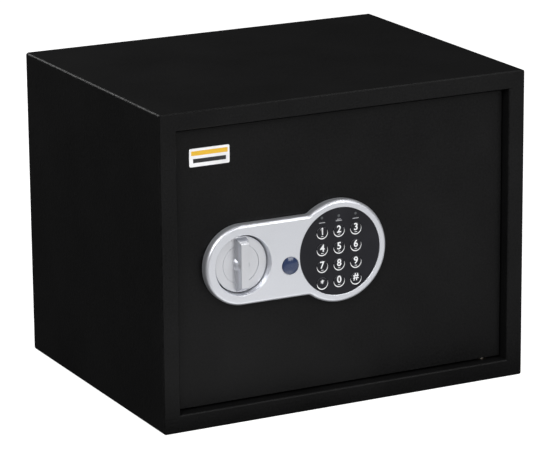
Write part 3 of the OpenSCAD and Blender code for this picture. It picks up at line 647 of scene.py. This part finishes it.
def build_panel():
    b = bmesh.new()
    well_low = WELL_R - 1.3 * MM
    well_backing = WELL_R + 2.5 * MM
    under_y = PANEL_FACE + 2 * MM
    outer = [loop(b, panel_outline(0), PANEL_BASE)]
    for i in range(7):
        a = math.pi / 2 * i / 6
        edge = panel_outline(EDGE * (1 - math.cos(a)))
        outer.append(loop(b, edge, PANEL_FACE + EDGE * (1 - math.sin(a))))
    for first, second in zip(outer, outer[1:]):
        ring_faces(b, first, second)

    def wall(x, z, profile, count=112):
        rings = [loop(b, circle_points(x, z, r, count), y) for r, y in profile]
        for first, second in zip(rings, rings[1:]):
            ring_faces(b, first, second)
        return rings

    well = wall(KNOB.x, KNOB.z, [
        *rounded(WELL_R + 0.8 * MM, WELL_R, PANEL_FACE, 0.7 * MM, 4), (well_low, PANEL_BASE),
        (well_backing, PANEL_BASE), (well_backing, under_y)])
    pad = wall(PAD.x, PAD.z, [
        *rounded(PAD_R + 0.7 * MM, PAD_R, PANEL_FACE, 0.6 * MM, 3), (PAD_R, under_y)], 128)
    cap_hole, lock_hole, cap_seat = CAP_R + 0.4 * MM, 5.3 * MM, PANEL_FACE + 0.8 * MM
    cap = wall(CAP.x, CAP.z, [
        *rounded(cap_hole + 0.35 * MM, cap_hole, PANEL_FACE, 0.35 * MM, 2),
        (cap_hole, cap_seat), (lock_hole, cap_seat), (lock_hole, under_y)], 48)
    web_between(b, outer[-1], [well[0], pad[0], cap[0]], PANEL_FACE)
    inner = [loop(b, panel_outline(3 * MM), y) for y in (under_y, PANEL_BASE)]
    ring_faces(b, inner[0], inner[1])
    ring_faces(b, inner[1], outer[0])
    web_between(b, inner[0], [well[-1], pad[-1], cap[-1]], under_y, False)
    bmesh.ops.remove_doubles(b, verts=b.verts, dist=1e-7)
    outward(b)
    return b


weighted(piece_from("control_panel", build_panel(), [BEZEL_SILVER], "door",
                    ["panel_bezel"]), 40)


# ---- knob ----

def build_knob():
    """Turned disc with a shallow dish, a tall bevelled grip bar across it and a tapered boss."""
    b = bmesh.new()
    low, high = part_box("knob")
    r = KNOB_R
    crown, back = low.y + 0.05 * MM, high.y
    grip_height = 8.8 * MM
    face = low.y + grip_height
    tall = face - crown
    dish = 18.4 * MM
    lathe(b, KNOB.x, KNOB.z, [
        (0, face + 0.5 * MM), (dish - 0.55 * MM, face + 0.5 * MM), (dish - 0.45 * MM, face + 0.95 * MM),
        (dish - 0.2 * MM, face + 0.95 * MM), (dish, face + 0.1 * MM), (dish + 0.25 * MM, face),
        *rounded(r - 0.7 * MM, r, face, 0.7 * MM, 5),
        (r, back - 0.3 * MM), (r - 0.3 * MM, back), (0, back)], 128)
    half = r - 1.3 * MM
    steps = ((-1, 0.0), (-0.93, 0.6), (-0.915, 0.65), (-0.84, 0.96), (-0.82, 1.0))
    section = ((-5.3, -0.1), (-5.3, 0.3), (-5.25, 0.6), (-5.05, 0.66), (-3.9, 0.96), (-3.65, 1.0))
    rows = []
    for along, rise in (*steps, *((-t, h) for t, h in steps[::-1])):
        shape = [(x, min(up, rise) if up > 0 else up) for x, up in section]
        rows.append([b.verts.new((KNOB.x + x * MM, face - tall * up, KNOB.z + along * half))
                     for x, up in (*shape, *((-x, up) for x, up in shape[::-1]))])
    for first, second in zip(rows, rows[1:]):
        for i in range(len(first)):
            j = (i + 1) % len(first)
            b.faces.new((first[i], first[j], second[j], second[i])).smooth = True
    b.faces.new(rows[0])
    b.faces.new(rows[-1][::-1])
    lathe(b, KNOB.x, KNOB.z, [
        (0, crown + 0.3 * MM), (3.6 * MM, crown + 0.3 * MM), (4.4 * MM, crown + 0.7 * MM),
        (5.6 * MM, crown + 2.6 * MM), (6.3 * MM, crown + 3.6 * MM), (6.7 * MM, face - 4.0 * MM),
        (7.1 * MM, face - 0.9 * MM), (7.6 * MM, face + 0.2 * MM), (7.8 * MM, face + 0.9 * MM),
        (0, face + 0.9 * MM)], 64)
    outward(b)
    return b


weighted(piece_from("knob_grip", build_knob(), [KNOB_SILVER], "knob", ["knob"]), 35)


# ---- keys, their legends and a painted highlight along their edges ----

def printed_one(height, x, z, y):
    """The figure one, a stem with a slanted flag."""
    build = bmesh.new()
    corners = [(-0.03, -0.5), (0.13, -0.5), (0.13, 0.5), (0.01, 0.5),
               (-0.23, 0.33), (-0.23, 0.17), (-0.03, 0.3)]
    build.faces.new([build.verts.new((x + u * height, y, z + w * height)) for u, w in corners])
    bmesh.ops.triangulate(build, faces=build.faces)
    return build


def flat_text(text, height, x, z, y, name):
    """Printed character as a thin mesh standing just off a surface that faces the front."""
    if text == "1":
        return printed_one(height, x, z, y)
    curve = bpy.data.curves.new(name, "FONT")
    curve.body = text
    curve.size = height / 0.7
    curve.align_x, curve.align_y = "CENTER", "CENTER"
    curve.offset = height * 0.03
    curve.extrude = 0.02 * MM
    carrier = bpy.data.objects.new(name, curve)
    scene.collection.objects.link(carrier)
    bpy.context.view_layer.update()
    graph = bpy.context.evaluated_depsgraph_get()
    mesh = bpy.data.meshes.new_from_object(carrier.evaluated_get(graph), depsgraph=graph)
    bpy.data.objects.remove(carrier)
    xs = [v.co.x for v in mesh.vertices]
    ys = [v.co.y for v in mesh.vertices]
    mid = Vector(((min(xs) + max(xs)) / 2, (min(ys) + max(ys)) / 2, 0))
    tall = 0.58 * height if text == "*" else height
    fit = tall / max(max(ys) - min(ys), 1e-6)
    for v in mesh.vertices:
        p = (v.co - mid) * fit
        v.co = Vector((x + p.x, y - v.co.z, z + p.y))
    build = bmesh.new()
    build.from_mesh(mesh)
    bpy.data.meshes.remove(mesh)
    return build


def bar_print(build, x, z, y, w, h):
    """Small printed dash."""
    signs = ((-1, -1), (1, -1), (1, 1), (-1, 1))
    build.faces.new([build.verts.new((x + sx * w / 2, y, z + sz * h / 2)) for sx, sz in signs])


def crescent(build, x, z, y, r, thick, start, stop, finish, peak=0.45, steps=40):
    """Flat arc that is widest near its middle and comes to fine tips: the printed crescents, and the painted
    highlight along each key's top edge.
    """
    inner, outer = [], []
    for i in range(steps + 1):
        t = i / steps
        a = math.radians(start + (stop - start) * t)
        w = thick * max(0.12, math.sin(math.pi * t ** (math.log(0.5) / math.log(peak))) ** 0.8)
        outer.append(build.verts.new((x + r * math.cos(a), y, z + r * math.sin(a))))
        inner.append(build.verts.new((x + (r - w) * math.cos(a), y, z + (r - w) * math.sin(a))))
    for i in range(steps):
        build.faces.new((inner[i], inner[i + 1], outer[i + 1], outer[i])).material_index = finish


RAISED, TALL, ARC_R = 1.75 * MM, 6.9 * MM, 5.8 * MM
for node, character in KEYS.items():
    centre = centre_of(node)
    print_y = front_of(node) - PRINT_LIFT
    b = flat_text(character, TALL, centre.x, centre.z + RAISED, print_y, node + "_digit")
    for face in b.faces:
        face.material_index = 0
    crescent(b, centre.x, centre.z, print_y, ARC_R, 0.95 * MM, 172, 388, 0)
    # painted highlight: a thin grey arc along the top of the key's edge, where the gap round the key catches
    # light
    crescent(b, centre.x, centre.z, print_y, ARC_R, 0.2 * MM, 40, 160, 1, 0.5)
    if character not in "*#":
        bar_print(b, centre.x, centre.z - 3.2 * MM, print_y, 2.4 * MM, 0.5 * MM)
    turned_front(b, 0.5)
    piece_from(node + "_legend", b, [WHITE_INK, EDGE_HIGHLIGHT_GREY], node)
    softened(node, node + "_cap", 0.25 * MM)

b = bmesh.new()
face_y = front_of("keypad_face") - PRINT_LIFT
LAMP_LOW, LAMP_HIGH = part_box("indicator_leds")
lamp_z = (LAMP_LOW.z + LAMP_HIGH.z) / 2
for i, key in enumerate(("key_one", "key_two", "key_three")):
    x = centre_of(key).x
    bar_print(b, x, lamp_z - 4.6 * MM, face_y, 6.4 * MM, 0.75 * MM)
    if i == 1:
        bar_print(b, x, lamp_z - 3.3 * MM, face_y, 3.6 * MM, 0.6 * MM)
turned_front(b)
piece_from("lamp_marks", b, [ink("label_ink", (0.4, 0.4, 0.43))], "door")


# ---- what repeats: pins, ribs, turns and weld beads ----

def rows_tree():
    """Copies of one small part in rows and columns, made one mesh."""
    tree = bpy.data.node_groups.new("rows_and_columns", "GeometryNodeTree")
    named = {}
    for label, kind in (("Part", "Object"), ("Start", "Vector"), ("Along", "Vector"),
                        ("Along Count", "Int"), ("Up", "Vector"), ("Up Count", "Int"),
                        ("Finish", "Material")):
        socket = tree.interface.new_socket(label, in_out="INPUT", socket_type="NodeSocket" + kind)
        named[label] = socket.identifier
    tree.interface.new_socket("Geometry", in_out="OUTPUT", socket_type="NodeSocketGeometry")
    given = tree.nodes.new("NodeGroupInput")
    made = tree.nodes.new("NodeGroupOutput")
    row, column = (tree.nodes.new("GeometryNodeMeshLine") for _ in range(2))
    part = tree.nodes.new("GeometryNodeObjectInfo")
    columns, copies = (tree.nodes.new("GeometryNodeInstanceOnPoints") for _ in range(2))
    places, solid = (tree.nodes.new("GeometryNodeRealizeInstances") for _ in range(2))
    finish = tree.nodes.new("GeometryNodeSetMaterial")
    for start, end in (
            (given.outputs["Along Count"], row.inputs["Count"]),
            (given.outputs["Start"], row.inputs["Start Location"]),
            (given.outputs["Along"], row.inputs["Offset"]),
            (given.outputs["Up Count"], column.inputs["Count"]),
            (given.outputs["Up"], column.inputs["Offset"]),
            (given.outputs["Part"], part.inputs["Object"]),
            (row.outputs[0], columns.inputs["Points"]), (column.outputs[0], columns.inputs["Instance"]),
            (columns.outputs[0], places.inputs[0]), (places.outputs[0], copies.inputs["Points"]),
            (part.outputs["Geometry"], copies.inputs["Instance"]), (copies.outputs[0], solid.inputs[0]),
            (solid.outputs[0], finish.inputs["Geometry"]),
            (given.outputs["Finish"], finish.inputs["Material"]), (finish.outputs[0], made.inputs[0])):
        tree.links.new(start, end)
    return tree, named


ROWS, ROWS_INPUT = rows_tree()


def in_rows(name, part, start, along, count, up, ups, finish, body, stands_for=()):
    """A piece of count by ups copies of a bmesh part, all sizes in metres."""
    model = bpy.data.objects.new(name + "_part", bpy.data.meshes.new(name + "_part"))
    part.to_mesh(model.data)
    part.free()
    piece = bpy.data.objects.new(name, bpy.data.meshes.new(name))
    scene.collection.objects.link(model)
    scene.collection.objects.link(piece)
    maker = piece.modifiers.new("rows", "NODES")
    maker.node_group = ROWS
    for label, value in (("Part", model), ("Start", Vector(start)), ("Along", Vector(along)),
                         ("Along Count", count), ("Up", Vector(up)), ("Up Count", ups), ("Finish", finish)):
        maker[ROWS_INPUT[label]] = value
    applied(piece)
    bpy.data.objects.remove(model)
    return settle(piece, body, stands_for)


def small_block(w, d, h, edge=0.0):
    """Block about the origin with its edges taken off."""
    b = bmesh.new()
    bmesh.ops.create_cube(b, size=1, matrix=Matrix.Diagonal((w, d, h, 1)))
    if edge:
        bmesh.ops.bevel(b, geom=b.edges[:], offset=edge, segments=2, affect="EDGES", clamp_overlap=True)
    for face in b.faces:
        face.smooth = False
    return b


def wire_ring(r, thick, around=48, sides=8):
    """One turn of wire lying level."""
    b = bmesh.new()
    rings = []
    for i in range(around):
        a = math.tau * i / around
        ring = []
        for j in range(sides):
            t = math.tau * j / sides
            reach = r + thick * math.cos(t)
            ring.append(b.verts.new((reach * math.cos(a), reach * math.sin(a), thick * math.sin(t))))
        rings.append(ring)
    for i in range(around):
        for j in range(sides):
            k = (j + 1) % sides
            n = (i + 1) % around
            b.faces.new((rings[i][j], rings[n][j], rings[n][k], rings[i][k])).smooth = True
    outward(b)
    return b


def weld_ripple(r):
    """One flattened ripple of a weld bead."""
    b = bmesh.new()
    flattened = Matrix.Diagonal((1, 1, 0.75, 1))
    bmesh.ops.create_uvsphere(b, u_segments=12, v_segments=8, radius=r, matrix=flattened)
    for face in b.faces:
        face.smooth = True
    return b


# control board: the processor's leads on its four sides, and the contacts in two sockets
BOARD_LOW, BOARD_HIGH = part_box("control_board")
board_y = BOARD_HIGH.y
chip = Vector((BOARD_LOW.x + 41 * MM, board_y + 0.35 * MM, BOARD_LOW.z + 29 * MM))
for label, size, start, along, up in (
        ("side_leads", (1.3, 0.7, 0.45), (-7.5, 0, -5.7), (15, 0, 0), (0, 0, 1.2667)),
        ("end_leads", (0.45, 0.7, 1.3), (-5.7, 0, -7.5), (1.2667, 0, 0), (0, 0, 15))):
    counts = (2, 10) if label == "side_leads" else (10, 2)
    in_rows("chip_" + label, small_block(*(v * MM for v in size), 0.1 * MM), chip + Vector(start) * MM,
            Vector(along) * MM, counts[0], Vector(up) * MM, counts[1],
            SPRING_STEEL, "door")
for name, height in (("socket_contacts", 5.7), ("coil_socket_contacts", 21.7)):
    start = (BOARD_LOW.x + 4.5 * MM, board_y + 5.2 * MM, BOARD_LOW.z + height * MM)
    in_rows(name, small_block(0.5 * MM, 1.6 * MM, 0.5 * MM, 0.08 * MM), start,
            (1.5 * MM, 0, 0), 2, (0, 0, 1.5 * MM), 4, BRASS, "door")

# solenoid: the outer turns of the winding
COIL_LOW, COIL_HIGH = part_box("solenoid_coil")
coil_mid = centre_of("solenoid_coil")
wire_pitch = 0.9 * MM
turns = int((COIL_HIGH.z - COIL_LOW.z) / wire_pitch)
in_rows("coil_turns", wire_ring((COIL_HIGH.x - COIL_LOW.x) / 2 - 0.1 * MM, 0.42 * MM),
        (coil_mid.x, coil_mid.y, COIL_LOW.z + 0.5 * MM), (0, 0, MM), 1, (0, 0, wire_pitch), turns,
        COIL, "door")

# battery lid: finger ribs
LID_LOW, LID_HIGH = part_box("battery_lid")
in_rows("lid_ribs", small_block(22 * MM, 0.9 * MM, 0.9 * MM, 0.3 * MM),
        ((LID_LOW.x + LID_HIGH.x) / 2, LID_HIGH.y + 0.1 * MM, LID_HIGH.z - 20 * MM), (MM, 0, 0), 1,
        (0, 0, 2 * MM), 7, TRAY_PLASTIC, "battery_lid")

# weld beads along both sides of each hinge block, and along the bolt guide
for node, label, reach in (("hinge_blocks", "hinge_weld", 19), ("bolt_guide", "guide_weld", 160)):
    low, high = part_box(node)
    foot = low.y + 0.2 * MM
    pitch = 1.5 * MM
    count = int((reach - 3) * MM / pitch)
    if node == "hinge_blocks":
        for end, z in (("lower", low.z + 2 * MM), ("upper", high.z - reach * MM + 2 * MM)):
            in_rows(label + "_" + end, weld_ripple(1.5 * MM), (low.x, foot, z), (high.x - low.x, 0, 0), 2,
                    (0, 0, pitch), count, DOOR_PAINT, "door")
    else:
        in_rows(label, weld_ripple(1.2 * MM), (high.x, foot, low.z + 2 * MM), (MM, 0, 0), 1,
                (0, 0, pitch), count, DOOR_PAINT, "door")


# ---- badge: a plain plate with two printed bands ----

softened("badge_plate", "badge_blank", 0.25 * MM)
low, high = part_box("badge_plate")
b = bmesh.new()
badge_x, badge_y = (low.x + high.x) / 2, low.y - PRINT_LIFT
for up, wide, tall in ((5.6, 33, 3.8), (12.6, 36.5, 4.2)):
    bar_print(b, badge_x, low.z + up * MM, badge_y, wide * MM, tall * MM)
for i, face in enumerate(b.faces):
    face.material_index = i
turned_front(b)
piece_from("badge_bands", b, [BLACK_INK, AMBER_INK], "door")


# ---- floor, light and camera ----

def seen_or_lit(tree, seen, lit):
    """Shader that the camera sees as one thing and that light treats as another."""
    path = tree.nodes.new("ShaderNodeLightPath")
    mix = tree.nodes.new("ShaderNodeMixShader")
    tree.links.new(path.outputs["Is Camera Ray"], mix.inputs[0])
    tree.links.new(lit.outputs[0], mix.inputs[1])
    tree.links.new(seen.outputs[0], mix.inputs[2])
    return mix.outputs[0]


FLOOR_HALF, FLOOR_GREY, ROOM_GLOW = 30, 0.12, 0.05
floor = bpy.data.meshes.new("floor")
floor.from_pydata([(FLOOR_HALF * x, FLOOR_HALF * y, 0) for x, y in ((-1, -1), (1, -1), (1, 1), (-1, 1))],
                  [], [(0, 1, 2, 3)])
pale = bpy.data.materials.new("floor_pale")
pale.use_nodes = True
nodes = pale.node_tree.nodes
nodes.clear()
bright = nodes.new("ShaderNodeBsdfPrincipled")
bright.inputs["Base Color"].default_value = (0.8, 0.8, 0.8, 1)
bright.inputs["Roughness"].default_value = 0.9
bright.inputs["Specular IOR Level"].default_value = 0
bright.inputs["Emission Color"].default_value = (1, 1, 1, 1)
bright.inputs["Emission Strength"].default_value = 0.82
dim = nodes.new("ShaderNodeBsdfDiffuse")
dim.inputs[0].default_value = (FLOOR_GREY, FLOOR_GREY, FLOOR_GREY, 1)
out = nodes.new("ShaderNodeOutputMaterial")
pale.node_tree.links.new(seen_or_lit(pale.node_tree, bright, dim), out.inputs[0])
floor.materials.append(pale)
ground = bpy.data.objects.new("floor", floor)
scene.collection.objects.link(ground)
ground.location.z = -0.5 * MM

world = bpy.data.worlds.new("studio")
world.use_nodes = True
tree = world.node_tree
tree.nodes.clear()
backdrop, surround = (tree.nodes.new("ShaderNodeBackground") for _ in range(2))
backdrop.inputs[0].default_value = (1, 1, 1, 1)
surround.inputs[0].default_value = (1, 1, 1, 1)
surround.inputs[1].default_value = ROOM_GLOW
out = tree.nodes.new("ShaderNodeOutputWorld")
tree.links.new(seen_or_lit(tree, backdrop, surround), out.inputs[0])
scene.world = world


def soft_light(name, size, power, where, aim):
    lamp = bpy.data.lights.new(name, "AREA")
    lamp.shape, lamp.size, lamp.size_y, lamp.energy = "RECTANGLE", size[0], size[1], power
    thing = bpy.data.objects.new(name, lamp)
    thing.location = where
    thing.rotation_mode = "QUATERNION"
    thing.rotation_quaternion = (Vector(aim) - Vector(where)).to_track_quat("-Z", "Y")
    thing.visible_camera = False
    scene.collection.objects.link(thing)
    return thing


def floor_card(name, size, glow, x, y):
    """Bright card lying face up just over the floor; glow is its brightness."""
    return soft_light(name, size, glow * math.pi * size[0] * size[1], (x, y, 2 * MM), (x, y, 1))


soft_light("key_light", (1.2, 1.2), 38, (-1.3, -1.6, 1.5), (0, -0.1, 0.15))
soft_light("fill_light", (1.4, 1.0), 25, (1.1, -2.3, 1.3), (0.1, -0.1, 0.15))
floor_card("front_card", (2.4, 3.0), 0.68, 1.03, -1.72)
floor_card("low_card", (0.36, 0.12), 0.9, -0.12, -0.25)
floor_card("rear_card", (2.6, 3.0), 0.6, 1.3, 1.8)
soft_light("top_strip", (1.2, 0.3), 6, (0.8, -0.62, 1.7), (0, -0.1, 0.2))
soft_light("back_strip", (0.3, 1.0), 12, (-0.56, 1.8, 1.1), (0, 0, 0.2))

scene.view_settings.view_transform = "Standard"

azimuth, elevation, roll = math.radians(-27.14), math.radians(15.35), math.radians(-0.492)
level = math.cos(elevation)
towards = Vector((math.sin(azimuth) * level, -math.cos(azimuth) * level, math.sin(elevation)))
facing = towards.to_track_quat("Z", "Y").to_matrix()
lens = bpy.data.cameras.new("camera")
lens.sensor_width, lens.lens = 36.0, 212.24
camera = bpy.data.objects.new("camera", lens)
camera.location = (-1.3755, -2.6869, 0.9666)
camera.rotation_mode = "QUATERNION"
camera.rotation_quaternion = (facing @ Matrix.Rotation(roll, 3, "Z")).to_quaternion()
scene.collection.objects.link(camera)
scene.camera = camera
